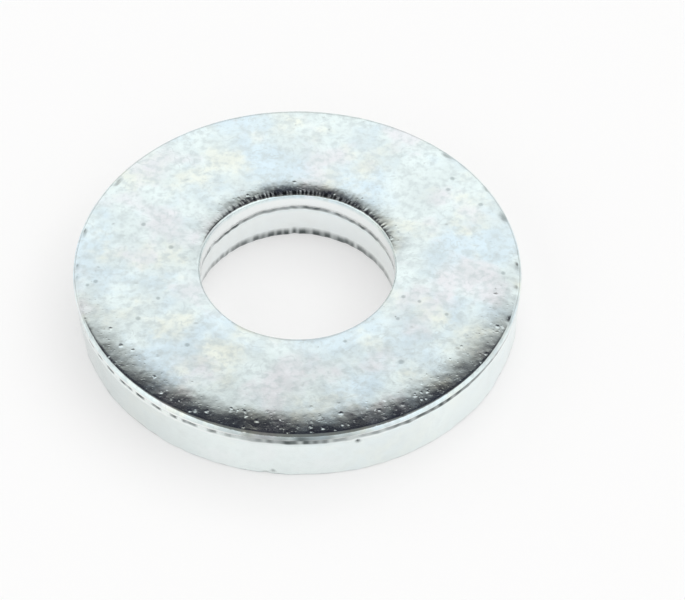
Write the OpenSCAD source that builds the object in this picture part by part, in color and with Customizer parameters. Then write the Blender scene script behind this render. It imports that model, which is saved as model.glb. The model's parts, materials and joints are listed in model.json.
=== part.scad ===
// Heavy flat washer, punched from thick steel plate and zinc plated.
// It lies on its broken-out lower face, with the rolled edges up.
// Millimetres. Origin on the bearing face, on the axis of the hole. +Z is up.

/* [Ring] */
// Outer diameter, over the burnished land
outer_d = 25.4; // [22:0.1:50]
// Hole diameter, inside the burnished land
bore_d = 11.1; // [6:0.1:14]
// Thickness between the two faces
thickness = 3.55; // [2:0.05:8]

/* [Rolled upper edges] */
// How far the outer edge's roll reaches in over the upper face
outer_roll_w = 2.0; // [0.8:0.05:2.6]
// How far the outer edge's roll drops below the upper face
outer_roll_h = 0.34; // [0.15:0.01:0.7]
// How far the hole's roll reaches out over the upper face
bore_roll_w = 1.45; // [0.5:0.05:1.7]
// How far the hole's roll drops below the upper face
bore_roll_h = 0.25; // [0.1:0.01:0.45]
// Radius of the tight bend where the outer roll turns down into the wall
outer_nose_r = 0.25; // [0.05:0.01:0.4]
// Radius of the tight bend where the hole's roll turns down into the wall
bore_nose_r = 0.17; // [0.05:0.01:0.35]

/* [Punched walls] */
// Height of the smooth burnished land round the outside
outer_land_h = 0.15; // [0.05:0.01:0.7]
// Height of the smooth burnished land in the hole
bore_land_h = 0.9; // [0.1:0.01:1]
// Depth of the torn step below each land
tear_step = 0.04; // [0.01:0.01:0.15]
// How far the fractured outer wall draws in, from the torn step to the lower face
outer_taper = 0.16; // [0:0.01:0.5]
// How far the fractured hole wall flares out, from the torn step to the lower face
bore_taper = 0.13; // [0:0.01:0.5]
// Size of the tumbled break on both lower corners
edge_break = 0.08; // [0.02:0.01:0.2]

/* [Hidden] */
$fn = 180;

outer_r = outer_d / 2;
bore_r = bore_d / 2;

// A nose is never rounder than most of its roll's own drop
outer_nose = min(outer_nose_r, 0.8 * outer_roll_h);
bore_nose = min(bore_nose_r, 0.8 * bore_roll_h);

// How far each cutting shape reaches past the metal it cuts
over = 0.5;

// Radius of the wide arc that leaves the face level and meets the nose arc smoothly
function roll_arc_r(w, h, nose) =
    (w * w - 2 * w * nose + h * h) / (2 * (h - nose));

// What the roll takes off a square corner: the corner at 0, 0, the metal at -X and -Y
module roll_cut(w, h, nose) {
    arc_r = roll_arc_r(w, h, nose);
    difference() {
        translate([-w, -h])
            square([w + over, h + over]);
        translate([-nose, -h])
            circle(r = nose);
        intersection() {
            translate([-w, -arc_r])
                circle(r = arc_r, $fn = 720);
            polygon(arc_side(w, h, nose, arc_r));
        }
    }
}

// The side of the line through both arc centres that the wide arc shapes
function arc_side(w, h, nose, arc_r) =
    let (
        run = w - nose,
        rise = arc_r - h,
        reach = (h + over) / rise
    )
    [
        [-nose - run * reach, -h - rise * reach],
        [-nose + run * reach, -h + rise * reach],
        [-w - over, -h + rise * reach],
        [-w - over, -h - rise * reach]
    ];

// Half section of the ring before its upper edges roll
module square_section() {
    outer_land_z = thickness - outer_roll_h - outer_land_h;
    bore_land_z = thickness - bore_roll_h - bore_land_h;
    outer_foot_r = outer_r - tear_step - outer_taper;
    bore_foot_r = bore_r + tear_step + bore_taper;
    polygon([
        [bore_foot_r + edge_break, 0],
        [outer_foot_r - edge_break, 0],
        [outer_foot_r, edge_break],
        [outer_r - tear_step, outer_land_z],
        [outer_r, outer_land_z],
        [outer_r, thickness],
        [bore_r, thickness],
        [bore_r, bore_land_z],
        [bore_r + tear_step, bore_land_z],
        [bore_foot_r, edge_break]
    ]);
}

// Half section of the punched ring, with both upper edges rolled
module punched_section() {
    difference() {
        square_section();
        translate([outer_r, thickness])
            roll_cut(outer_roll_w, outer_roll_h, outer_nose);
        translate([bore_r, thickness])
            mirror([1, 0])
                roll_cut(bore_roll_w, bore_roll_h, bore_nose);
    }
}

// The whole washer, one punched piece
module washer() {
    color("gainsboro")
        rotate_extrude()
            punched_section();
}

washer();
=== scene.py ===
"""A heavy flat washer of bright zinc plated steel, lying flat on a white floor.

The washer is one punched ring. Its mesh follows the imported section: rolled upper edges, a smooth
burnished land under each roll, a torn line, and a rough tapered wall down to a tumbled lower corner.
All lengths are in metres, and angles round the ring start at +X and run anticlockwise from above.
"""
import json
import math
from typing import NamedTuple

import bpy
import numpy as np
from mathutils import Matrix, Vector


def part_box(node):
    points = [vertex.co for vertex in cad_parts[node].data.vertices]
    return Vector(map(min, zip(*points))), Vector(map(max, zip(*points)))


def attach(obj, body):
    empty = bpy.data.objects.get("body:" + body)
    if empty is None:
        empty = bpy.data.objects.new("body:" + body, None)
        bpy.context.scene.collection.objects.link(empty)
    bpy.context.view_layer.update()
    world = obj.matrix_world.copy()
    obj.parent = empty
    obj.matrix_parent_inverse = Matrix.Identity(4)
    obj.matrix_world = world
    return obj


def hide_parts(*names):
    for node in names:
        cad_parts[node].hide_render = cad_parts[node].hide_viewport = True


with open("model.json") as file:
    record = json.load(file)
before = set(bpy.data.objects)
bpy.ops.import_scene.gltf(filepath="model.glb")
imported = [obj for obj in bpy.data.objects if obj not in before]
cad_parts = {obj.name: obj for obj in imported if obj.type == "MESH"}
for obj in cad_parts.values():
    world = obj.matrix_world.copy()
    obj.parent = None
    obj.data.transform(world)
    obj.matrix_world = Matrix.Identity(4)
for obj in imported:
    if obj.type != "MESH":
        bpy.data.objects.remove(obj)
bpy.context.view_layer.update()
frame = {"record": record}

MM = 0.001


class Curve(NamedTuple):
    """A random curve round the ring: its waves a turn, and the swing, middle and limits they are given."""

    seed: int
    slowest: int
    fastest: int
    falloff: float = 0.5
    swing: float = 1.0
    middle: float = 0.0
    low: float = -math.inf
    high: float = math.inf


class Stain(NamedTuple):
    """Clouds of a colour on the zinc: their size, the noise values they lie between, and their look."""

    colour: tuple
    size: float
    start: float
    full: float
    detail: float
    softness: float
    strength: float = 1.0
    shift: tuple = (0.0, 0.0, 0.0)


# The photograph's frame, and where the middle of the upper face falls in it, in pixels
FRAME_WIDTH_PX = 685
FRAME_HEIGHT_PX = 600
FACE_X_PX = 297.6
FACE_Y_PX = 263.9

# Camera. The lens and the sensor are in millimetres.
LENS = 155.0
SENSOR_WIDTH = 36.0
CAMERA_DISTANCE = 167.0 * MM
CAMERA_ELEVATION = math.radians(47.5)
CAMERA_ROLL = math.radians(1.0)
CLIP_NEAR = 1.0 * MM
CLIP_FAR = 20.0

# Studio light: its levels, and the levels between which its tint goes from dark to dim and on to white
BRIGHT_LEVEL = 1.03
DARK_LEVEL = 0.03
DARK_COLOUR = (0.80, 0.78, 1.15, 1.0)
DIM_COLOUR = (1.03, 1.0, 0.95, 1.0)
WHITE = (1.0, 1.0, 1.0, 1.0)
DIM_TINT_FULL = 0.15
WHITE_TINT_FROM = 0.4
WHITE_TINT_FULL = 0.9

# Softbox behind the washer: elevations above the floor, and turns from straight behind to a side
SOFTBOX_TOP_FROM = math.radians(47.5)
SOFTBOX_TOP_TO = math.radians(56.7)
SOFTBOX_SIDE_FROM = math.radians(42.0)
SOFTBOX_SIDE_TO = math.radians(68.0)
SOFTBOX_FOOT_FROM = math.radians(22.0)
SOFTBOX_FOOT_TO = math.radians(32.0)

# How far behind the light under the softbox is full, and the least depth that is divided by
FOOT_FULL_FROM = 0.5
LEAST_DEPTH = 0.01

# Belt all round near the floor: elevations, and its levels
BELT_TOP = math.radians(20.0)
BELT_TOP_BLUR = math.radians(6.0)
BELT_RISE_BEFORE = math.radians(15.0)
BELT_RISE_SIDES = math.radians(22.0)
BELT_LEVEL_BEHIND = 0.72
BELT_LEVEL_BEFORE = 1.05

# Where the belt changes, as the part of a direction of length 1 that points behind or to a side
BELT_LEVEL_FROM = -0.4
BELT_LEVEL_TO = 0.6
BELT_RISE_BEFORE_FROM = -0.1
BELT_RISE_BEFORE_TO = 0.5
BELT_RISE_SIDES_FROM = 0.25
BELT_RISE_SIDES_TO = 0.6

# Dim dome: its angles run from straight behind over the top
DOME_LEVEL = 0.20
DOME_FROM = math.radians(65.0)
DOME_TO = math.radians(82.0)

# Fill light for the floor: its turn is from straight behind to the right
FILL_STRENGTH = 1.5
FILL_ANGLE = math.radians(75.0)
FILL_ELEVATION = math.radians(70.0)
FILL_TURN = math.radians(60.0)

# Floor
FLOOR_HALF = 3.0
FLOOR_COLOUR = (0.93, 0.93, 0.93, 1.0)
FLOOR_GLOW = 0.5

# Main sizes of the ring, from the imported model
high_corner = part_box("washer")[1]
bore = next(m for m in frame["record"]["mounts"] if m["name"] == "bore")
OUTER_R = high_corner.x
THICKNESS = high_corner.z
BORE_R = bore["dims"]["r_mm"] * MM
MIDDLE_R = (OUTER_R + BORE_R) / 2
BORE_LAND_FOOT = bore["pos_m"][2] - bore["dims"]["length_mm"] * MM / 2

# Rolled edges: how far each reaches over the face, how far it drops, and its tight nose
OUTER_ROLL_W = 2.0 * MM
OUTER_ROLL_H = 0.325 * MM
OUTER_NOSE = 0.25 * MM
BORE_ROLL_W = 1.45 * MM
BORE_ROLL_H = 0.26 * MM
BORE_NOSE = 0.17 * MM

# The upper face falls away very slightly towards the rim, from this radius outwards
CROWN_FROM = 8.5 * MM
CROWN_PER_METRE = math.radians(0.13) / MM

# Punched walls
OUTER_LAND_H = 0.155 * MM
LEAST_LAND_H = 0.01 * MM
OUTER_TAPER = 0.16 * MM
BORE_TAPER = 0.11 * MM
EDGE_BREAK = 0.10 * MM
# How much painted shade lies on the outer tumbled lower corner
EDGE_BREAK_SHADE = 0.5

# Torn line under each land: step, polished lip, deepest pocket, top and foot, and the pocket's curve
TEAR_STEP = 0.04 * MM
TEAR_LIP = 0.02 * MM
TEAR_DEPTH = 0.07 * MM
TEAR_TOP = 0.01 * MM
TEAR_H = 0.38 * MM
POCKET_POWER = 1.3

# Where down the torn line its painted shade ends, from 0 to 1, over how much it fades, and where the lip
# begins
TEAR_REACH = 0.80
TEAR_FADE = 0.25
LIP_BEFORE = 0.05
LIP_FADE = 0.15

# The die stood slightly to one side of the punch, so the wall leans more on that side
PUNCH_OFFSET = 0.10 * MM
PUNCH_OFFSET_TO = math.radians(165.0)
BORE_OFFSET = 0.08 * MM
BORE_OFFSET_TO = math.radians(188.0)

# Stretches of the ring where the punched edge or its painted shade differs, in degrees: the middle and half
# width of each
FRONT = (271.0, 28.0)
LEFT = (224.0, 32.0)
RIGHT = (332.0, 30.0)
HIGH_TEAR = (312.0, 40.0)
LONG_TEAR = (310.0, 36.0)
BROKEN_TEAR = (230.0, 45.0)
PITTED_RIM = (275.0, 110.0)
GREY_LEFT = (205.0, 50.0)
GREY_RIGHT = (285.0, 40.0)
BORE_REAR = (90.0, 80.0)
BORE_HIGH_TEAR = (90.0, 50.0)
BORE_DARK_FOOT = (90.0, 120.0)
PITTED_BORE = (90.0, 90.0)

# What is added there to the outer roll's drop, nose and width, and to the height of each torn line
FRONT_DROP = 0.02 * MM
LEFT_DROP = 0.01 * MM
RIGHT_DROP = 0.05 * MM
FRONT_NOSE = 0.03 * MM
RIGHT_WIDTH_SHARE = 0.05
FRONT_TEAR_RISE = 0.09 * MM
RIGHT_TEAR_RISE = 0.13 * MM
BORE_TEAR_RISE = 0.24 * MM

# How much painted shade darkens the wall there, and the torn line's lip in front
GREY_LEFT_SHADE = 0.16
GREY_RIGHT_SHADE = 0.05
FRONT_LIP_SHADE = 0.12

# How much of the pits and of the painted shade at the hole's foot is left away from their stretch
LEAST_PITTED_RIM = 0.2
LEAST_PITTED_BORE = 0.15
LEAST_DARK_FOOT = 0.35

# How much wider the hole's roll is at a tick, as a share
TICK_WIDTH_SHARE = 0.02

# Random curves of the outside. Those with a middle of 1 are a share of a size.
OUTER_WIDTH = Curve(seed=11, slowest=1, fastest=5, swing=0.02, middle=1.0)
OUTER_DROP = Curve(seed=12, slowest=1, fastest=9, swing=0.01 * MM)
OUTER_TEAR = Curve(seed=14, slowest=6, fastest=160, falloff=0.35, swing=0.02 * MM)
# The outer torn line's dashes, patches and strength: how deep its pockets are and how much painted shade
# they get
TEAR_DASHES = Curve(seed=15, slowest=12, fastest=115, falloff=0.0)
TEAR_PATCHES = Curve(seed=44, slowest=2, fastest=16, falloff=0.3,
                     swing=0.36, middle=0.27, low=0.0, high=0.6)
TEAR_DARK = Curve(seed=18, slowest=40, fastest=160, falloff=0.0,
                  swing=0.25, middle=0.85, low=0.4, high=1.0)
# Painted shade on the outer nose and land in front
NOSE_PAINTED_SHADE = Curve(seed=40, slowest=20, fastest=90, falloff=0.2,
                  swing=0.15, middle=0.7, low=0.1, high=1.0)
OUTER_FOOT = Curve(seed=16, slowest=3, fastest=60, falloff=0.6, swing=0.025 * MM)
OUTER_CORNER = Curve(seed=17, slowest=4, fastest=120, falloff=0.4, swing=0.45, middle=1.0)
# Uneven painted shade on the outer wall
OUTER_GREY = Curve(seed=19, slowest=2, fastest=14, swing=0.02)

# Random curves of the hole
BORE_WIDTH = Curve(seed=21, slowest=1, fastest=6, swing=0.05, middle=1.0)
BORE_DROP = Curve(seed=22, slowest=1, fastest=9, swing=0.05, middle=1.0)
BORE_BEND = Curve(seed=23, slowest=1, fastest=14, swing=0.10, middle=1.0)
# Ticks at the rear of the hole's upper edge: painted dark, and slightly wider
BORE_TICKS = Curve(seed=29, slowest=50, fastest=190, falloff=0.0)
BORE_TEAR = Curve(seed=24, slowest=3, fastest=90, falloff=0.6, swing=0.05 * MM, middle=-0.08 * MM)
# The hole's torn line: how deep its pockets are and how much painted shade they get
BORE_TEAR_DARK = Curve(seed=25, slowest=3, fastest=60, falloff=0.2,
                       swing=0.35, middle=0.75, low=0.1, high=1.0)
BORE_FOOT = Curve(seed=27, slowest=3, fastest=60, falloff=0.6, swing=0.03 * MM)
# Painted shade along the hole's foot
BORE_FOOT_PAINTED_SHADE = Curve(seed=28, slowest=14, fastest=90, falloff=0.0,
                       swing=0.45, middle=0.9, low=0.2, high=1.0)
BORE_CORNER = Curve(seed=26, slowest=4, fastest=90, falloff=0.4, swing=0.4, middle=1.1)

# The smallest wave of a random curve, as a share of the largest, and how soft the ends of dashes are
LEAST_WAVE = 0.4
DASH_SOFTNESS = 0.35

# Relief of the metal: the height and the wavelength of each kind of hills
GRAIN_HILLS = (0.0006 * MM, 0.42 * MM)
SWELL_HILLS = (0.003 * MM, 2.4 * MM)
TORN_HILLS = (0.005 * MM, 0.34 * MM)
TORN_SWELL_HILLS = (0.012 * MM, 1.1 * MM)
SCORE_HILLS = (0.0015 * MM, 0.3 * MM)
LAND_SWELL_SHARE = 0.5

# How the hills are made: their seed, how many waves, and how much the waves' lengths vary
HILL_SEED = 31
HILL_WAVES = 48
HILL_SPREAD = (0.7, 1.5)

# Torn hills and scores run down the wall, so points are squeezed along Z by this for them
TORN_SQUEEZE = np.array([1.0, 1.0, 0.35])
SCORE_SQUEEZE = np.array([1.0, 1.0, 0.1])

# Mesh density: segments round the ring, and rows of faces along each stretch of the section
SEGMENTS = 864
OUTER_ROLL_ROWS = 18
BORE_ROLL_ROWS = 10
NOSE_ROWS = 7
OUTER_LAND_ROWS = 3
OUTER_TEAR_ROWS = 9
OUTER_WALL_ROWS = 14
BREAK_ROWS = 3
BORE_LAND_ROWS = 4
BORE_TEAR_ROWS = 6
BORE_WALL_ROWS = 14
FACE_ROWS = 4

# Rows with painted shade on the outer nose, with painted dark ticks and rougher metal at the hole's upper
# edge, and with painted shade at the hole's foot
NOSE_PAINTED_SHADE_FROM_ROW = OUTER_ROLL_ROWS + 4
RAGGED_AND_SHADED_ROWS = range(BORE_ROLL_ROWS - 1, BORE_ROLL_ROWS + 3)
FOOT_DARK_ROWS = 4
FOOT_FADE_ROWS = 2.5

# What each point of the mesh is like, from 0 to 1, for the material: land, torn and rolled are its finish,
# shade is painted shade
FINISH_AND_SHADE_MASKS = ("land", "torn", "rolled", "shade")

# Nicks on the rim and wall: degrees round the ring, then inset, height, length, width and depth in mm
NICKS = (
    (19.2, 0.24, 3.44, 0.34, 0.20, 0.050),
    (0.8, 0.26, 3.45, 0.28, 0.14, 0.038),
    (6.5, 0.20, 3.42, 0.20, 0.12, 0.018),
    (30.5, 0.20, 3.42, 0.26, 0.12, 0.018),
    (46.7, 0.24, 3.45, 0.30, 0.12, 0.042),
    (341.6, 0.16, 3.40, 0.26, 0.14, 0.020),
    (352.7, 0.24, 3.44, 0.24, 0.13, 0.014),
    (149.1, 0.36, 3.47, 0.34, 0.09, 0.045),
    (169.7, 0.28, 3.45, 0.34, 0.11, 0.045),
    (182.4, 0.24, 3.44, 0.24, 0.12, 0.024),
    (186.6, 0.20, 3.42, 0.28, 0.13, 0.018),
    (286.3, 0.02, 2.60, 0.13, 0.13, 0.100),
    (265.2, 0.20, 0.30, 0.12, 0.12, 0.050),
    (263.4, 0.25, 0.05, 0.20, 0.15, 0.050),
)

# A nick this deep gets full painted shade inside
DARK_DENT = 0.08 * MM

# Small dull pits seen on the upper face: degrees round the ring, distance from its axis and radius, in mm
SPOTS = (
    (188.0, 11.44, 0.20),
    (309.0, 9.32, 0.24),
    (38.5, 11.32, 0.20),
    (25.5, 11.60, 0.20),
    (35.5, 10.56, 0.19),
    (358.0, 11.64, 0.19),
    (338.5, 6.44, 0.18),
    (189.0, 11.92, 0.17),
    (200.0, 8.24, 0.17),
    (324.5, 6.96, 0.17),
    (206.5, 9.80, 0.21),
    (171.0, 7.32, 0.21),
    (295.5, 6.40, 0.16),
    (336.5, 9.16, 0.17),
    (338.5, 7.40, 0.16),
    (162.0, 9.36, 0.20),
    (226.5, 8.64, 0.20),
)

# How dull a spot is, and how much of its radius is fully so
SPOT_STRENGTH = 0.50
SPOT_CORE = 0.3

# Colours of the zinc, and the near-black colour of its painted shade
PLAIN = (0.865, 0.975, 0.97, 1.0)
BLUE = (0.77, 0.915, 0.99, 1.0)
STRAW = (0.92, 0.97, 0.885, 1.0)
PINK = (0.88, 0.90, 0.93, 1.0)
DULL = (0.64, 0.72, 0.73, 1.0)
POLISHED = (0.96, 0.99, 0.985, 1.0)
TORN = (0.92, 0.975, 0.965, 1.0)
PITTED = (0.22, 0.27, 0.28, 1.0)
PAINTED_SHADE_COLOUR = (0.06, 0.075, 0.075, 1.0)

# Blooms of blue, straw and pink, then dull haze, mottle and flecks
STAINS = (
    Stain(BLUE, size=4.6 * MM, start=0.45, full=0.63, detail=4.0, softness=0.6),
    Stain(STRAW, size=3.8 * MM, start=0.50, full=0.66, detail=4.0, softness=0.6,
          shift=(0.031, 0.017, 0.0)),
    Stain(PINK, size=4.2 * MM, start=0.51, full=0.67, detail=4.0, softness=0.6,
          shift=(-0.023, 0.041, 0.0)),
    Stain(DULL, size=2.4 * MM, start=0.36, full=0.66, detail=3.0, softness=0.6,
          strength=0.36, shift=(0.0, 0.0, 0.07)),
    Stain(DULL, size=0.45 * MM, start=0.42, full=0.70, detail=2.0, softness=0.5,
          strength=0.62, shift=(0.05, 0.0, 0.0)),
    Stain(DULL, size=0.24 * MM, start=0.58, full=0.74, detail=1.0, softness=0.5, strength=0.20),
)

# Hair-thin dull scuffs. They run where a noise is at its middle, and keep to patches.
NOISE_MIDDLE = 0.5
SCUFF_BEND = 0.9 * MM
SCUFF_CORE = 0.006
SCUFF_EDGE = 0.022
SCUFF_PATCHES = Stain(DULL, size=0.8 * MM, start=0.52, full=0.62, detail=1.0, softness=0.5,
                      strength=0.45, shift=(0.0, 0.09, 0.0))

# How far the land and torn masks take the colour to their own, and the shade mask to the painted shade
# colour
LAND_STRENGTH = 0.95
TORN_STRENGTH = 0.8
SHADE_STRENGTH = 0.96

# Grain and lumps of the plating: the height and the size of each
FINE_GRAIN = (0.0009 * MM, 0.13 * MM)
COARSE_GRAIN = (0.0016 * MM, 0.45 * MM)
ROLL_LUMPS = (0.006 * MM, 0.45 * MM)
ROLL_LUMPS_SHIFT = (0.0, 0.06, 0.0)

# Pits of the plating: the depth, spacing and radius of each kind
FACE_PITS = (0.004 * MM, 0.50 * MM, 0.20 * MM)
ROLL_PITS = (0.008 * MM, 0.33 * MM, 0.15 * MM)
SMALL_ROLL_PITS = (0.002 * MM, 0.16 * MM, 0.07 * MM)

# How many of the places for a pit have one. The roll's pits crowd in patches.
FACE_PITS_SHARE = 0.06
ROLL_PITS_SHARE = 0.05
ROLL_PITS_PATCH_SHARE = 0.45
SMALL_ROLL_PITS_SHARE = 0.7
PIT_PATCH = 1.3 * MM
PIT_PATCH_FROM = 0.40
PIT_PATCH_FULL = 0.60
PIT_PATCH_SHIFT = (0.01, 0.02, 0.03)
PIT_SMALLEST = 0.5
PIT_LARGEST = 1.2

# The pits' outlines are made uneven by this much, in waves of that size
PIT_JITTER = 0.10 * MM
PIT_JITTER_SIZE = 0.11 * MM

# How rough the plating is, in patches, and what the lands and the torn walls add to that
ROUGH_PATCH = 1.2 * MM
ROUGH_PATCH_FROM = 0.35
ROUGH_PATCH_FULL = 0.65
LEAST_ROUGH = 0.12
MOST_ROUGH = 0.17
LAND_ROUGH = -0.06
TORN_ROUGH = 0.10


def face_to_camera():
    """Camera position and axes, so that the upper face's middle falls at its own pixel."""
    forward = Vector((0.0, math.cos(CAMERA_ELEVATION), -math.sin(CAMERA_ELEVATION)))
    level_right = Vector((1.0, 0.0, 0.0))
    level_up = level_right.cross(forward)
    right = level_right * math.cos(CAMERA_ROLL) + level_up * math.sin(CAMERA_ROLL)
    up = level_up * math.cos(CAMERA_ROLL) - level_right * math.sin(CAMERA_ROLL)
    focal_px = LENS / SENSOR_WIDTH * FRAME_WIDTH_PX
    per_px = CAMERA_DISTANCE / focal_px
    face_middle = Vector((0.0, 0.0, THICKNESS))
    offset_right = (FACE_X_PX - FRAME_WIDTH_PX / 2) * per_px
    offset_up = (FRAME_HEIGHT_PX / 2 - FACE_Y_PX) * per_px
    place = face_middle - right * offset_right - up * offset_up - forward * CAMERA_DISTANCE
    return place, right, up, forward


def add_camera():
    """The camera at the photograph's viewing angle."""
    place, right, up, forward = face_to_camera()
    camera = bpy.data.objects.new("camera", bpy.data.cameras.new("camera"))
    camera.data.lens = LENS
    camera.data.sensor_width = SENSOR_WIDTH
    camera.data.clip_start = CLIP_NEAR
    camera.data.clip_end = CLIP_FAR
    turn = Matrix((right, up, -forward)).transposed().to_4x4()
    camera.matrix_world = Matrix.Translation(place) @ turn
    bpy.context.scene.collection.objects.link(camera)
    bpy.context.scene.camera = camera


class Nodes:
    """A short way to add and join shader nodes."""

    def __init__(self, tree):
        self.tree = tree
        tree.nodes.clear()

    def add(self, kind, settings=None, **inputs):
        """A node of that kind, with its settings, and its inputs joined or set by name."""
        node = self.tree.nodes.new(kind)
        for name, value in (settings or {}).items():
            setattr(node, name, value)
        for name, value in inputs.items():
            self.put(node, name.replace("_", " "), value)
        return node

    def put(self, node, name, value):
        """Joins an output to the named or numbered input, or sets a plain value there."""
        socket = node.inputs[int(name) if name.isdigit() else name]
        if isinstance(value, bpy.types.NodeSocket):
            self.tree.links.new(value, socket)
        else:
            socket.default_value = value

    def math(self, operation, a, b=0.0, clamp=False):
        """The result of one sum."""
        node = self.add("ShaderNodeMath", {"operation": operation, "use_clamp": clamp})
        self.put(node, "0", a)
        self.put(node, "1", b)
        return node.outputs[0]

    def fade(self, value, start, end, low=0.0, high=1.0):
        """A smooth step from low at start to high at end."""
        node = self.add("ShaderNodeMapRange", {"interpolation_type": "SMOOTHSTEP"})
        for name, number in (("Value", value), ("From Min", start), ("From Max", end),
                             ("To Min", low), ("To Max", high)):
            self.put(node, name, number)
        return node.outputs["Result"]

    def mix(self, factor, a, b):
        """A colour between a and b."""
        node = self.add("ShaderNodeMix", {"data_type": "RGBA"})
        self.put(node, "0", factor)
        self.put(node, "6", a)
        self.put(node, "7", b)
        return node.outputs[2]


def softbox_shape(n, sideways, rearwards, upwards):
    """Where the softbox stands, but for its foot, and how steeply each direction points up to it."""
    depth = n.math("MAXIMUM", rearwards, LEAST_DEPTH)
    height = n.math("DIVIDE", upwards, depth)
    side = n.math("ABSOLUTE", n.math("DIVIDE", sideways, depth))
    below_top = n.fade(height, math.tan(SOFTBOX_TOP_FROM), math.tan(SOFTBOX_TOP_TO), 1.0, 0.0)
    between_sides = n.fade(side, math.tan(SOFTBOX_SIDE_FROM), math.tan(SOFTBOX_SIDE_TO), 1.0, 0.0)
    return n.math("MULTIPLY", below_top, between_sides), height


def belt_light(n, sideways, rearwards, upwards):
    """The pale belt all round near the floor, which stands higher in front and at the sides."""
    level = n.fade(rearwards, BELT_LEVEL_FROM, BELT_LEVEL_TO, BELT_LEVEL_BEFORE, BELT_LEVEL_BEHIND)
    rise_before = n.fade(rearwards, BELT_RISE_BEFORE_FROM, BELT_RISE_BEFORE_TO, BELT_RISE_BEFORE, 0.0)
    beside = n.math("ABSOLUTE", sideways)
    rise_sides = n.fade(beside, BELT_RISE_SIDES_FROM, BELT_RISE_SIDES_TO, 0.0, BELT_RISE_SIDES)
    above_belt = n.math("SUBTRACT", n.math("ARCSINE", upwards), n.math("ADD", rise_before, rise_sides))
    shape = n.fade(above_belt, BELT_TOP - BELT_TOP_BLUR, BELT_TOP + BELT_TOP_BLUR, 1.0, 0.0)
    return n.math("MULTIPLY", level, shape)


def add_world():
    """A bright softbox behind the washer, a pale belt all round near the floor, and a dim dome.

    Between the softbox's top and the dome is a dark gap, which the rolled edges mirror as a dark band.
    """
    world = bpy.data.worlds.new("studio")
    world.use_nodes = True
    bpy.context.scene.world = world
    n = Nodes(world.node_tree)
    direction = n.add("ShaderNodeTexCoord").outputs["Generated"]
    sideways, rearwards, upwards = n.add("ShaderNodeSeparateXYZ", Vector=direction).outputs
    shape, height = softbox_shape(n, sideways, rearwards, upwards)
    above_foot = n.fade(height, math.tan(SOFTBOX_FOOT_FROM), math.tan(SOFTBOX_FOOT_TO), 0.0, BRIGHT_LEVEL)
    softbox = n.math("MULTIPLY", above_foot, shape)
    behind = n.fade(rearwards, 0.0, FOOT_FULL_FROM)
    foot = n.math("MULTIPLY", n.math("MULTIPLY", behind, shape), BELT_LEVEL_BEHIND)
    belt = belt_light(n, sideways, rearwards, upwards)
    dome = n.fade(rearwards, math.cos(DOME_TO), math.cos(DOME_FROM), DOME_LEVEL, 0.0)
    lit = n.math("MAXIMUM", n.math("MAXIMUM", softbox, belt), n.math("MAXIMUM", foot, dome))
    level = n.math("MAXIMUM", lit, DARK_LEVEL)
    tint = n.mix(n.fade(lit, 0.0, DIM_TINT_FULL), DARK_COLOUR, DIM_COLOUR)
    tint = n.mix(n.fade(lit, WHITE_TINT_FROM, WHITE_TINT_FULL), tint, WHITE)
    background = n.add("ShaderNodeBackground", Color=tint, Strength=level)
    n.add("ShaderNodeOutputWorld", Surface=background.outputs[0])


def add_fill_light():
    """A broad soft light from above, behind and to the right, for the floor. Metal doesn't mirror it."""
    light = bpy.data.lights.new("fill_light", "SUN")
    light.energy = FILL_STRENGTH
    light.angle = FILL_ANGLE
    lamp = bpy.data.objects.new("fill_light", light)
    flat = math.cos(FILL_ELEVATION)
    source = Vector((flat * math.sin(FILL_TURN), flat * math.cos(FILL_TURN), math.sin(FILL_ELEVATION)))
    lamp.rotation_euler = source.to_track_quat("Z", "Y").to_euler()
    lamp.visible_glossy = False
    bpy.context.scene.collection.objects.link(lamp)


def add_floor():
    """A plain white floor at the washer's lower face."""
    corners = [(x * FLOOR_HALF, y * FLOOR_HALF, 0.0) for x, y in ((-1, -1), (1, -1), (1, 1), (-1, 1))]
    mesh = bpy.data.meshes.new("floor")
    mesh.from_pydata(corners, [], [(0, 1, 2, 3)])
    floor = bpy.data.objects.new("floor", mesh)
    bpy.context.scene.collection.objects.link(floor)
    material = bpy.data.materials.new("floor_white")
    material.use_nodes = True
    n = Nodes(material.node_tree)
    paint = n.add("ShaderNodeBsdfDiffuse", Color=FLOOR_COLOUR)
    white = n.add("ShaderNodeEmission", Strength=1.0)
    rays = n.add("ShaderNodeLightPath").outputs
    seen = n.math("MAXIMUM", rays["Is Camera Ray"], rays["Is Glossy Ray"])
    seen = n.math("MAXIMUM", seen, rays["Is Transmission Ray"])
    share = n.math("MULTIPLY", seen, FLOOR_GLOW)
    surface = n.add("ShaderNodeMixShader")
    n.put(surface, "0", share)
    n.put(surface, "1", paint.outputs[0])
    n.put(surface, "2", white.outputs[0])
    n.add("ShaderNodeOutputMaterial", Surface=surface.outputs[0])
    mesh.materials.append(material)


def wander(angle, curve):
    """That random curve round the ring, which joins up with itself. A swing of 1 is about -1 to 1."""
    rng = np.random.default_rng(curve.seed)
    total = np.zeros_like(angle)
    weight = 0.0
    for turns in range(curve.slowest, curve.fastest + 1):
        size = turns ** -curve.falloff * rng.uniform(LEAST_WAVE, 1.0)
        total += size * np.cos(turns * angle + rng.uniform(0, 2 * math.pi))
        weight += size * size
    waves = total / math.sqrt(2 * weight)
    return np.clip(curve.middle + curve.swing * waves, curve.low, curve.high)


def hills(points, kind, seed):
    """Random hills at the points, of that kind's height and wavelength."""
    size, wavelength = kind
    rng = np.random.default_rng(seed)
    total = np.zeros(points.shape[:-1])
    for _ in range(HILL_WAVES):
        direction = rng.normal(size=3)
        direction *= 2 * math.pi / (np.linalg.norm(direction) * wavelength * rng.uniform(*HILL_SPREAD))
        total += np.cos(points @ direction + rng.uniform(0, 2 * math.pi))
    return size * total / math.sqrt(HILL_WAVES)


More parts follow.
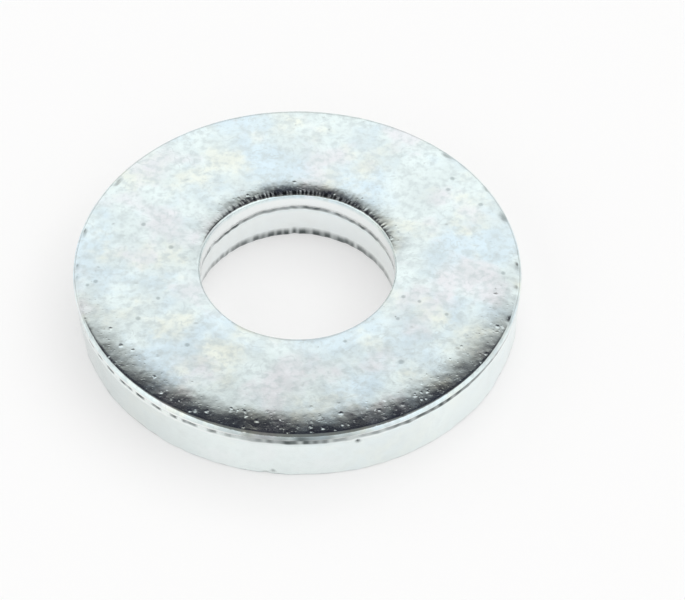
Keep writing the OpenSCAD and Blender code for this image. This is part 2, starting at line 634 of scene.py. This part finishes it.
def dashes(angle, curve):
    """Soft-ended dashes round the ring, 0 between them and 1 inside, over half of it."""
    waves = wander(angle, curve)
    return np.clip((waves - np.median(waves)) / DASH_SOFTNESS + 0.5, 0.0, 1.0)


def near(angle, stretch, least=0.0):
    """1 in the middle of that stretch of the ring, fading smoothly to least at its ends and beyond."""
    middle, half_width = stretch
    away = np.abs((np.degrees(angle) - middle + 180.0) % 360.0 - 180.0)
    t = np.clip(1.0 - away / half_width, 0.0, 1.0)
    return least + (1.0 - least) * t * t * (3.0 - 2.0 * t)


def between(start, end, row, rows):
    """The value at that row of a straight stretch, whose last row is rows."""
    return start + (end - start) * row / rows


def roll_curve(wide_rows, width, drop, nose):
    """Points down a rolled edge: distance in from the wall, and depth under the face.

    A wide arc leaves the face level and meets a tight nose arc, which ends upright at the wall.
    """
    arc = (width * width - 2 * width * nose + drop * drop) / (2 * (drop - nose))
    meet = np.arctan2(width - nose, arc - drop)
    points = []
    for row in range(wide_rows + 1):
        tilt = meet * row / wide_rows
        points.append((width - arc * np.sin(tilt), arc - arc * np.cos(tilt)))
    for row in range(1, NOSE_ROWS + 1):
        tilt = meet + (math.pi / 2 - meet) * row / NOSE_ROWS
        points.append((nose - nose * np.sin(tilt), drop - nose * np.cos(tilt)))
    return points


def stretched(row, wide_rows):
    """How stretched and pitted a roll is at that row, up to 1 from half way down its wide arc."""
    return min(1.0, 2 * row / wide_rows)


def torn_line(line, rows, reach=TEAR_REACH):
    """Points down the torn line: distance in from the land, depth under it, how much painted shade, how
    polished.

    Where line is 1 the metal is torn into a pocket, whose floor slopes back out to a polished lip.
    The painted shade in the pocket ends at that reach, from 0 at its top to 1 at its foot.
    """
    points = []
    for row in range(rows):
        t = row / (rows - 1)
        pocket = TEAR_DEPTH * line * (1 - t) ** POCKET_POWER
        inset = TEAR_LIP + pocket + (TEAR_STEP - TEAR_LIP) * t * t
        shade = line * np.clip((reach - t) / TEAR_FADE, 0.0, 1.0)
        lip = np.clip((t - reach + LIP_BEFORE) / LIP_FADE, 0.0, 1.0)
        points.append((inset, between(TEAR_TOP, TEAR_H, row, rows - 1), shade, lip))
    return points


def tumbled_corner(size, row):
    """A point round the tumbled lower corner: distance in from the wall, and height.

    Row 0 is on the wall, and the last row on the lower face.
    """
    tilt = math.pi / 2 * row / BREAK_ROWS
    return size * (1 - math.cos(tilt)), size * (1 - math.sin(tilt))


class Section:
    """The rows of points that run round the ring's section, with what each row is like."""

    def __init__(self):
        self.angle = np.arange(SEGMENTS) * 2 * math.pi / SEGMENTS
        self.rows = []

    def add(self, r, z, land=0.0, torn=0.0, rolled=0.0, shade=0.0):
        """One row of points round the ring, with its finish and painted shade masks."""
        row = {"r": r, "z": z, "land": land, "torn": torn, "rolled": rolled, "shade": shade}
        full = np.ones_like(self.angle)
        self.rows.append({name: value * full for name, value in row.items()})


def outer_roll(angle):
    """Width, drop and nose radius of the outer roll round the ring."""
    front = near(angle, FRONT)
    right = near(angle, RIGHT)
    uneven = wander(angle, OUTER_DROP)
    width = OUTER_ROLL_W * (wander(angle, OUTER_WIDTH) + RIGHT_WIDTH_SHARE * right)
    drop = OUTER_ROLL_H + uneven + FRONT_DROP * front + LEFT_DROP * near(angle, LEFT) + RIGHT_DROP * right
    nose = OUTER_NOSE + uneven + FRONT_NOSE * front
    return width, drop, nose


def outer_tear(angle, drop):
    """The outer torn line round the ring: its height, how torn and painted dark it is, and how far down the
    painted shade reaches.
    """
    front = near(angle, FRONT)
    long_tear = near(angle, LONG_TEAR)
    height = THICKNESS - OUTER_ROLL_H - OUTER_LAND_H + wander(angle, OUTER_TEAR)
    height = height + FRONT_TEAR_RISE * front + RIGHT_TEAR_RISE * near(angle, HIGH_TEAR)
    height = np.minimum(height, THICKNESS - drop - LEAST_LAND_H)
    strength = np.maximum(np.sqrt(near(angle, BROKEN_TEAR)), wander(angle, TEAR_PATCHES))
    line = np.maximum(strength * dashes(angle, TEAR_DASHES), np.sqrt(long_tear))
    line = np.maximum(line, front) * wander(angle, TEAR_DARK)
    reach = TEAR_REACH + (1.0 - TEAR_REACH) * np.maximum(front, long_tear)
    return height, line, reach


def add_outer_wall(section, start_z):
    """The torn outer wall from that height down, the lower corner, and the lower face to its middle."""
    angle = section.angle
    start_r = OUTER_R - TEAR_STEP
    lean = PUNCH_OFFSET * np.cos(angle - PUNCH_OFFSET_TO)
    foot_r = start_r - OUTER_TAPER - lean + wander(angle, OUTER_FOOT)
    corner = EDGE_BREAK * wander(angle, OUTER_CORNER)
    # Painted shade on the outer wall: darker on the left, a little on the right, and uneven round the ring
    grey = GREY_LEFT_SHADE * near(angle, GREY_LEFT) + GREY_RIGHT_SHADE * near(angle, GREY_RIGHT)
    grey = grey + wander(angle, OUTER_GREY)
    for row in range(1, OUTER_WALL_ROWS + 1):
        wall_r = between(start_r, foot_r, row, OUTER_WALL_ROWS)
        wall_z = between(start_z, corner, row, OUTER_WALL_ROWS)
        section.add(wall_r, wall_z, torn=1.0, shade=grey)
    # The tumbled lower corner, with painted shade on it
    for row in range(1, BREAK_ROWS + 1):
        inset, height = tumbled_corner(corner, row)
        section.add(foot_r - inset, height, shade=EDGE_BREAK_SHADE)
    for row in range(1, FACE_ROWS):
        section.add(between(foot_r - corner, MIDDLE_R, row, FACE_ROWS), 0.0)


def add_outside(section):
    """The outside, from the middle of the upper face out, down the wall and under to the lower face."""
    angle = section.angle
    front = near(angle, FRONT)
    # Painted shade on the outer nose and land in front
    dark = front * wander(angle, NOSE_PAINTED_SHADE)
    pitted = near(angle, PITTED_RIM, LEAST_PITTED_RIM)
    width, drop, nose = outer_roll(angle)
    tear, line, reach = outer_tear(angle, drop)
    for row in range(FACE_ROWS):
        section.add(between(MIDDLE_R, OUTER_R - width, row, FACE_ROWS), THICKNESS)
    for row, (inset, fall) in enumerate(roll_curve(OUTER_ROLL_ROWS, width, drop, nose)):
        rolled = pitted * stretched(row, OUTER_ROLL_ROWS)
        shade = dark * (row >= NOSE_PAINTED_SHADE_FROM_ROW)
        section.add(OUTER_R - inset, THICKNESS - fall, rolled=rolled, shade=shade)
    for row in range(1, OUTER_LAND_ROWS + 1):
        height = between(THICKNESS - drop, tear, row, OUTER_LAND_ROWS)
        section.add(OUTER_R, height, land=1.0, shade=dark)
    for inset, fall, shade, lip in torn_line(line, OUTER_TEAR_ROWS, reach):
        # Painted shade in the torn pockets, and a little on the lip in front
        shade = np.maximum(shade, FRONT_LIP_SHADE * front)
        section.add(OUTER_R - inset, tear - fall, torn=1.0 - lip, land=lip, shade=shade)
    add_outer_wall(section, tear - TEAR_H)


def add_bore_wall(section, end_z):
    """The lower face from its middle in, the hole's lower corner, and its torn wall up to that height, with
    painted shade along the foot.
    """
    angle = section.angle
    end_r = BORE_R + TEAR_STEP
    lean = BORE_OFFSET * np.cos(angle - BORE_OFFSET_TO)
    foot_r = end_r + BORE_TAPER + lean + wander(angle, BORE_FOOT)
    corner = EDGE_BREAK * wander(angle, BORE_CORNER)
    # Painted shade along the hole's foot, strongest at the rear and fading up the lowest wall rows
    dark = wander(angle, BORE_FOOT_PAINTED_SHADE) * near(angle, BORE_DARK_FOOT, LEAST_DARK_FOOT)
    for row in range(FACE_ROWS):
        section.add(between(MIDDLE_R, foot_r + corner, row, FACE_ROWS), 0.0)
    for row in range(BREAK_ROWS, 0, -1):
        inset, height = tumbled_corner(corner, row)
        section.add(foot_r + inset, height, shade=dark)
    for row in range(BORE_WALL_ROWS):
        wall_r = between(foot_r, end_r, row, BORE_WALL_ROWS)
        wall_z = between(corner, end_z, row, BORE_WALL_ROWS)
        shade = dark * np.clip((FOOT_DARK_ROWS - row) / FOOT_FADE_ROWS, 0.0, 1.0)
        section.add(wall_r, wall_z, land=0.9, torn=0.1, shade=shade)


def add_bore_roll(section, drop):
    """The hole's roll, from the land up and over to the upper face, with fine painted dark ticks at the
    rear and rougher metal between them.
    """
    angle = section.angle
    rear = near(angle, BORE_REAR)
    ticks = dashes(angle, BORE_TICKS)
    pitted = near(angle, PITTED_BORE, LEAST_PITTED_BORE)
    width = BORE_ROLL_W * (wander(angle, BORE_WIDTH) + TICK_WIDTH_SHARE * rear * ticks)
    nose = BORE_NOSE * wander(angle, BORE_BEND)
    curve = roll_curve(BORE_ROLL_ROWS, width, drop, nose)
    for row, (inset, fall) in reversed(list(enumerate(curve))):
        rolled = pitted * stretched(row, BORE_ROLL_ROWS)
        # Painted dark ticks on the roll's lowest rows at the rear, with rougher metal between them
        ragged_and_shaded = rear * (row in RAGGED_AND_SHADED_ROWS)
        shade = ragged_and_shaded * ticks
        section.add(BORE_R + inset, THICKNESS - fall, torn=ragged_and_shaded * (1 - ticks), rolled=rolled, shade=shade)
    for row in range(1, FACE_ROWS):
        section.add(between(BORE_R + width, MIDDLE_R, row, FACE_ROWS), THICKNESS)


def add_hole(section):
    """The hole's side, from the middle of the lower face in, up the hole and over to the upper face."""
    angle = section.angle
    drop = BORE_ROLL_H * wander(angle, BORE_DROP)
    tear = BORE_LAND_FOOT + BORE_TEAR_RISE * near(angle, BORE_HIGH_TEAR) + wander(angle, BORE_TEAR)
    line = wander(angle, BORE_TEAR_DARK)
    add_bore_wall(section, tear - TEAR_H)
    # The hole's torn line, with painted shade in its pockets
    for inset, fall, shade, _ in reversed(torn_line(line, BORE_TEAR_ROWS)):
        section.add(BORE_R + inset, tear - fall, land=0.7, torn=0.15, shade=shade)
    for row in range(BORE_LAND_ROWS):
        section.add(BORE_R, between(tear, THICKNESS - drop, row, BORE_LAND_ROWS), land=1.0)
    add_bore_roll(section, drop)


def row_array(section, name):
    """One value of the section as an array of row by angle."""
    return np.array([row[name] for row in section.rows])


def outward(r, z):
    """Unit normals of the section, out of the metal, as radial and upward parts."""
    along_r = np.gradient(r, axis=0)
    along_z = np.gradient(z, axis=0)
    length = np.hypot(along_r, along_z)
    return -along_z / length, along_r / length


def relief(r, z, land, torn, angle):
    """How far each point stands out of the smooth section."""
    points = np.stack([r * np.cos(angle), r * np.sin(angle), z], axis=-1)
    plain = 1.0 - np.maximum(land, torn)
    top = plain * (z > THICKNESS / 2)
    grain = hills(points, GRAIN_HILLS, HILL_SEED)
    swell = hills(points, SWELL_HILLS, HILL_SEED + 1)
    torn_grain = hills(points * TORN_SQUEEZE, TORN_HILLS, HILL_SEED + 2)
    torn_swell = hills(points * TORN_SQUEEZE, TORN_SWELL_HILLS, HILL_SEED + 3)
    scores = hills(points * SCORE_SQUEEZE, SCORE_HILLS, HILL_SEED + 4)
    smooth = scores + LAND_SWELL_SHARE * swell
    return top * (grain + swell) + torn * (torn_grain + torn_swell) + land * smooth


def dent(r, z, angle):
    """How deep the nicks go at each point."""
    total = np.zeros_like(r)
    for degrees, inset, height, length, width, depth in NICKS:
        sideways = ((angle - math.radians(degrees) + math.pi) % (2 * math.pi) - math.pi) * OUTER_R
        across = np.hypot(OUTER_R - inset * MM - r, z - height * MM)
        away = np.hypot(sideways / (length * MM), across / (width * MM))
        total += depth * MM * np.exp(-away * away)
    return total


def shaped_points(section):
    """The section's points with their crown, relief and nicks. No nick bends the lower face."""
    r = row_array(section, "r")
    z = row_array(section, "z")
    z = z - 0.5 * CROWN_PER_METRE * np.clip(r - CROWN_FROM, 0.0, None) ** 2 * (z > THICKNESS / 2)
    out_r, out_z = outward(r, z)
    rough = relief(r, z, row_array(section, "land"), row_array(section, "torn"), section.angle)
    height = rough - dent(r, z, section.angle) * (z > 0.0)
    r = np.clip(r + out_r * height, None, OUTER_R)
    z = np.clip(z + out_z * height, 0.0, THICKNESS)
    return np.stack([r * np.cos(section.angle), r * np.sin(section.angle), z], axis=-1)


def ring_faces(rows):
    """Quads between neighbouring rows. The last row meets the first, so the ring is closed."""
    faces = []
    for row in range(rows):
        this_row = row * SEGMENTS
        next_row = (row + 1) % rows * SEGMENTS
        for i in range(SEGMENTS):
            j = (i + 1) % SEGMENTS
            faces.append((this_row + i, next_row + i, next_row + j, this_row + j))
    return faces


def mask_values(section, name):
    """That finish or painted shade mask at each point of the mesh. The nicks get painted shade too."""
    values = row_array(section, name)
    if name == "shade":
        nicks = dent(row_array(section, "r"), row_array(section, "z"), section.angle)
        values = np.maximum(values, nicks / DARK_DENT)
    return values


def build_washer():
    """The whole washer as one closed mesh."""
    section = Section()
    add_outside(section)
    add_hole(section)
    points = shaped_points(section)
    mesh = bpy.data.meshes.new("flat_washer")
    mesh.from_pydata(points.reshape(-1, 3).tolist(), [], ring_faces(len(points)))
    mesh.update()
    for name in FINISH_AND_SHADE_MASKS:
        attribute = mesh.attributes.new(name, "FLOAT", "POINT")
        attribute.data.foreach_set("value", mask_values(section, name).ravel().astype(np.float32))
    mesh.shade_smooth()
    washer = bpy.data.objects.new("flat_washer", mesh)
    bpy.context.scene.collection.objects.link(washer)
    return washer


def noise(n, place, size, detail=2.0, softness=0.5, shift=(0.0, 0.0, 0.0)):
    """A noise value with hills of about that size."""
    moved = n.add("ShaderNodeVectorMath", {"operation": "ADD"})
    n.put(moved, "0", place)
    n.put(moved, "1", shift)
    node = n.add("ShaderNodeTexNoise", Vector=moved.outputs[0], Scale=1.0 / size, Detail=detail,
                 Roughness=softness)
    return node.outputs["Fac"]


def stain_cover(n, place, stain):
    """How much of that stain lies at each place, from 0 to its strength."""
    clouds = noise(n, place, stain.size, stain.detail, stain.softness, stain.shift)
    return n.fade(clouds, stain.start, stain.full, 0.0, stain.strength)


def pits(n, place, kind, share):
    """Scattered round pits: minus their depth in the middle of each, 0 outside.

    Share is how many of the places for a pit have one.
    """
    depth, spacing, radius = kind
    cells = n.add("ShaderNodeTexVoronoi", Vector=place, Scale=1.0 / spacing)
    split = n.add("ShaderNodeSeparateColor", Color=cells.outputs["Color"])
    kept = n.math("LESS_THAN", split.outputs[0], share)
    size = n.fade(split.outputs[1], 0.0, 1.0, PIT_SMALLEST, PIT_LARGEST)
    reach = n.math("MULTIPLY", radius / spacing, size)
    inside = n.math("SUBTRACT", 1.0, n.math("DIVIDE", cells.outputs["Distance"], reach), clamp=True)
    return n.math("MULTIPLY", n.math("MULTIPLY", kept, n.fade(inside, 0.0, 1.0)), -depth)


def spots(n, place):
    """The dull pits of the upper face: 1 in the middle of each, 0 outside."""
    total = 0.0
    for degrees, radius, size in SPOTS:
        turn = math.radians(degrees)
        centre = (radius * MM * math.cos(turn), radius * MM * math.sin(turn), THICKNESS)
        away = n.add("ShaderNodeVectorMath", {"operation": "DISTANCE"})
        n.put(away, "0", place)
        n.put(away, "1", centre)
        spot = n.fade(away.outputs["Value"], SPOT_CORE * size * MM, size * MM, 1.0, 0.0)
        total = n.math("MAXIMUM", spot, total)
    return total


def scuffs(n, place):
    """Hair-thin scuffs, which keep to patches, from 0 to the patches' strength."""
    winding = n.math("ABSOLUTE", n.math("SUBTRACT", noise(n, place, SCUFF_BEND, 1.0), NOISE_MIDDLE))
    lines = n.fade(winding, SCUFF_CORE, SCUFF_EDGE, 1.0, 0.0)
    return n.math("MULTIPLY", lines, stain_cover(n, place, SCUFF_PATCHES))


def zinc_colour(n, place, masks):
    """Pale zinc with faint stains, spots and scuffs, polished lands, darker torn metal, and painted shade
    where the shade mask is set.
    """
    colour = PLAIN
    for stain in STAINS:
        colour = n.mix(stain_cover(n, place, stain), colour, stain.colour)
    colour = n.mix(n.math("MULTIPLY", spots(n, place), SPOT_STRENGTH), colour, PITTED)
    colour = n.mix(scuffs(n, place), colour, SCUFF_PATCHES.colour)
    colour = n.mix(n.math("MULTIPLY", masks["land"], LAND_STRENGTH), colour, POLISHED)
    colour = n.mix(n.math("MULTIPLY", masks["torn"], TORN_STRENGTH), colour, TORN)
    # Painted shade: the shade mask takes the colour towards near-black
    return n.mix(n.math("MULTIPLY", masks["shade"], SHADE_STRENGTH), colour, PAINTED_SHADE_COLOUR)


def grain_height(n, place, kind, detail=2.0, shift=(0.0, 0.0, 0.0)):
    """Noise of that kind's size, times its height."""
    height, size = kind
    return n.math("MULTIPLY", noise(n, place, size, detail, shift=shift), height)


def uneven_place(n, place):
    """The place moved about a little, so that what is drawn round it has an uneven outline."""
    jitter = n.add("ShaderNodeTexNoise", Vector=place, Scale=1.0 / PIT_JITTER_SIZE, Detail=1.0)
    moved = n.add("ShaderNodeVectorMath", {"operation": "MULTIPLY_ADD"})
    n.put(moved, "0", jitter.outputs["Color"])
    n.put(moved, "1", (PIT_JITTER, PIT_JITTER, PIT_JITTER))
    n.put(moved, "2", place)
    return moved.outputs[0]


def zinc_relief(n, place, masks):
    """Height in metres of the fine grain and of the small pits, which crowd on the stretched rolls."""
    rolled = masks["rolled"]
    uneven = uneven_place(n, place)
    patches = noise(n, place, PIT_PATCH, shift=PIT_PATCH_SHIFT)
    patchy = n.fade(patches, PIT_PATCH_FROM, PIT_PATCH_FULL)
    crowd = n.math("ADD", ROLL_PITS_SHARE, n.math("MULTIPLY", patchy, ROLL_PITS_PATCH_SHARE))
    layers = (
        grain_height(n, place, COARSE_GRAIN),
        n.math("MULTIPLY", grain_height(n, place, ROLL_LUMPS, 1.0, ROLL_LUMPS_SHIFT), rolled),
        pits(n, uneven, FACE_PITS, FACE_PITS_SHARE),
        pits(n, uneven, ROLL_PITS, n.math("MULTIPLY", rolled, crowd)),
        pits(n, uneven, SMALL_ROLL_PITS, n.math("MULTIPLY", rolled, SMALL_ROLL_PITS_SHARE)),
    )
    total = grain_height(n, place, FINE_GRAIN)
    for layer in layers:
        total = n.math("ADD", total, layer)
    return n.math("MULTIPLY", total, n.math("SUBTRACT", 1.0, masks["land"]))


def zinc_material():
    """Bright zinc plate: frosted grain on faces and rolls, smooth lands, and dull torn walls."""
    material = bpy.data.materials.new("zinc_plated_steel")
    material.use_nodes = True
    n = Nodes(material.node_tree)
    place = n.add("ShaderNodeTexCoord").outputs["Object"]
    masks = {}
    for name in FINISH_AND_SHADE_MASKS:
        masks[name] = n.add("ShaderNodeAttribute", {"attribute_name": name}).outputs["Fac"]
    colour = zinc_colour(n, place, masks)
    height = zinc_relief(n, place, masks)
    bump = n.add("ShaderNodeBump", Height=height, Strength=1.0, Distance=1.0)
    patches = noise(n, place, ROUGH_PATCH)
    rough = n.fade(patches, ROUGH_PATCH_FROM, ROUGH_PATCH_FULL, LEAST_ROUGH, MOST_ROUGH)
    rough = n.math("ADD", rough, n.math("MULTIPLY", masks["land"], LAND_ROUGH))
    rough = n.math("ADD", rough, n.math("MULTIPLY", masks["torn"], TORN_ROUGH))
    shader = n.add("ShaderNodeBsdfPrincipled", Base_Color=colour, Roughness=rough, Normal=bump.outputs[0])
    shader.inputs["Metallic"].default_value = 1.0
    n.add("ShaderNodeOutputMaterial", Surface=shader.outputs[0])
    return material


def main():
    """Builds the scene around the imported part."""
    add_camera()
    add_world()
    add_fill_light()
    add_floor()
    bpy.context.scene.view_settings.view_transform = "Standard"
    washer = build_washer()
    washer.data.materials.append(zinc_material())
    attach(washer, "root")
    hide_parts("washer")


main()
